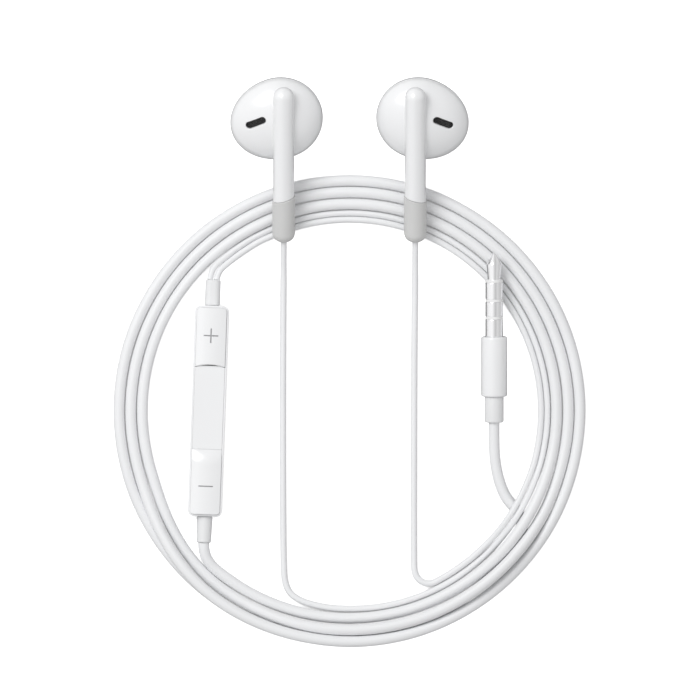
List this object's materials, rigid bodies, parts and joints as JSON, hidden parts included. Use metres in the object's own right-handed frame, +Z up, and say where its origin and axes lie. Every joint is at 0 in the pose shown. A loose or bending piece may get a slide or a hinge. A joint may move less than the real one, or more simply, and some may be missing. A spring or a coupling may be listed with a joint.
{
  "type": "wired earphones",
  "caption": "Two open-fit earbuds on thin cords that join at an in-line three-key remote, then a thicker coiled cord to a four-pole 3.5 mm plug.",
  "frame": {"origin": "on the table that the earphones lie on, midway between the two earbuds", "axes": "+X towards the right earbud, +Y from the cords towards the earbud heads, +Z up from the table; the backs of the earbuds and the keys of the remote face +Z"},
  "size_m": [0.0944, 0.1139, 0.0161],
  "materials": {
    "white_gloss_plastic": "glossy moulded white",
    "grey_collar_plastic": "satin light warm grey",
    "black_mesh": "fine black acoustic mesh",
    "foam": "open-cell foam",
    "frame_plastic": "moulded, matte",
    "steel": "plated steel",
    "magnet_alloy": "nickel-plated magnet",
    "copper": "enamelled copper winding",
    "diaphragm_film": "thin film",
    "aluminium": "crimped sleeve",
    "cord_jacket": "satin white elastomer",
    "soft_white_plastic": "satin white elastomer",
    "board": "green solder mask",
    "black_plastic": "moulded black",
    "contact_metal": "bright plated contact",
    "insulator_plastic": "white insulating ring"
  },
  "bodies": {
    "earphones": {"circuit_board": "board", "controller_chip": "black_plastic", "left_cord": "cord_jacket", "left_cord_crimp": "aluminium", "left_damping_foam": "foam", "left_diaphragm": "diaphragm_film", "left_driver_frame": "frame_plastic", "left_front_shell": "white_gloss_plastic", "left_magnet": "magnet_alloy", "left_rear_shell": "white_gloss_plastic", "left_rear_vent": "black_mesh", "left_sound_grille": "black_mesh", "left_stem_collar": "grey_collar_plastic", "left_stem_lead": "cord_jacket", "left_top_plate": "steel", "left_voice_coil": "copper", "left_yoke": "steel", "main_cord_coil": "cord_jacket", "main_cord_plug_end": "cord_jacket", "main_cord_remote_end": "cord_jacket", "microphone": "steel", "microphone_mesh": "black_mesh", "plug_body": "white_gloss_plastic", "plug_core": "insulator_plastic", "plug_insulator_1": "insulator_plastic", "plug_insulator_2": "insulator_plastic", "plug_insulator_3": "insulator_plastic", "plug_neck": "soft_white_plastic", "plug_ring_1": "contact_metal", "plug_ring_2": "contact_metal", "plug_sleeve": "contact_metal", "plug_tip": "contact_metal", "remote_bottom_boot": "soft_white_plastic", "remote_inner_frame": "frame_plastic", "remote_rear_shell": "white_gloss_plastic", "remote_top_boot": "soft_white_plastic", "right_cord": "cord_jacket", "right_cord_crimp": "aluminium", "right_damping_foam": "foam", "right_diaphragm": "diaphragm_film", "right_driver_frame": "frame_plastic", "right_front_shell": "white_gloss_plastic", "right_magnet": "magnet_alloy", "right_rear_shell": "white_gloss_plastic", "right_rear_vent": "black_mesh", "right_sound_grille": "black_mesh", "right_stem_collar": "grey_collar_plastic", "right_stem_lead": "cord_jacket", "right_top_plate": "steel", "right_voice_coil": "copper", "right_yoke": "steel", "switch_bases": "black_plastic"},
    "plus_key": {"plus_button": "white_gloss_plastic", "plus_plunger": "frame_plastic"},
    "centre_key": {"centre_button": "white_gloss_plastic", "centre_plunger": "frame_plastic"},
    "minus_key": {"minus_button": "white_gloss_plastic", "minus_plunger": "frame_plastic"}
  },
  "joints": [
    {"name": "plus_press", "type": "slide", "parent": "earphones", "child": "plus_key", "axis": [0, 0, -1], "range_m": [0, 0.00025], "stiffness_N_per_m": 400},
    {"name": "centre_press", "type": "slide", "parent": "earphones", "child": "centre_key", "axis": [0, 0, -1], "range_m": [0, 0.00025], "stiffness_N_per_m": 400},
    {"name": "minus_press", "type": "slide", "parent": "earphones", "child": "minus_key", "axis": [0, 0, -1], "range_m": [0, 0.00025], "stiffness_N_per_m": 400}
  ]
}
